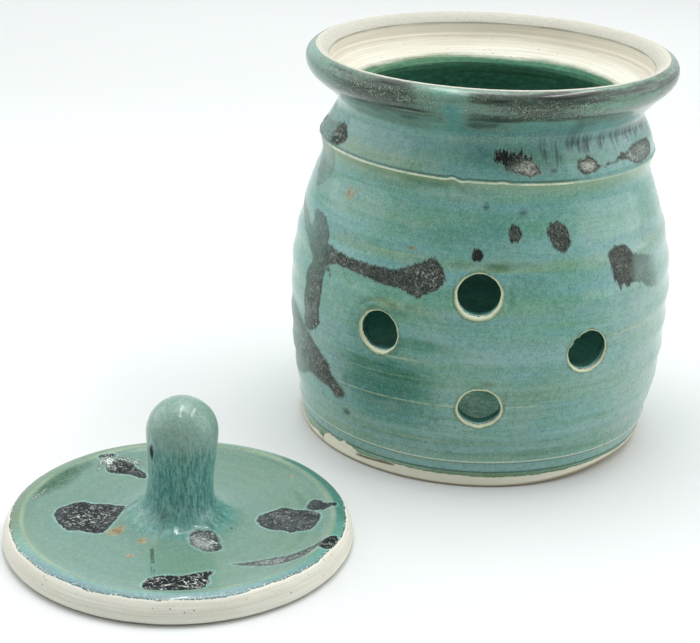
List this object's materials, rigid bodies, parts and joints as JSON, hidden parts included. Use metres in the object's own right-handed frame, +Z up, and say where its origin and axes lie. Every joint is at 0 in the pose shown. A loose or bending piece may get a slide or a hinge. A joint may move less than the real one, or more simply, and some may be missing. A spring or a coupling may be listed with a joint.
{
  "type": "garlic keeper",
  "caption": "Round thrown stoneware jar with air vents, a waisted neck and a gallery rim, and a flat lift-off lid with a tall rounded knob.",
  "frame": {"origin": "centre of the jar's foot, on the surface it stands on", "axes": "+Z up along the jar's own axis, the vents face -Y, and the lid lies beside the jar towards -X and -Y"},
  "size_m": [0.198, 0.2167, 0.1284],
  "materials": {
    "glaze_jar": "teal-green glaze with grey-brown splashes over cream stoneware, bare at the gallery and foot",
    "glaze_lid": "teal-green glaze with grey-brown splashes over cream stoneware, bare on the side"
  },
  "bodies": {
    "jar": {"jar": "glaze_jar"},
    "lid": {"lid": "glaze_lid"}
  },
  "joints": [
    {"name": "lid_lift", "type": "slide", "parent": "jar", "child": "lid", "axis": [0, 0, 1], "range_m": [0, 0.16]}
  ]
}
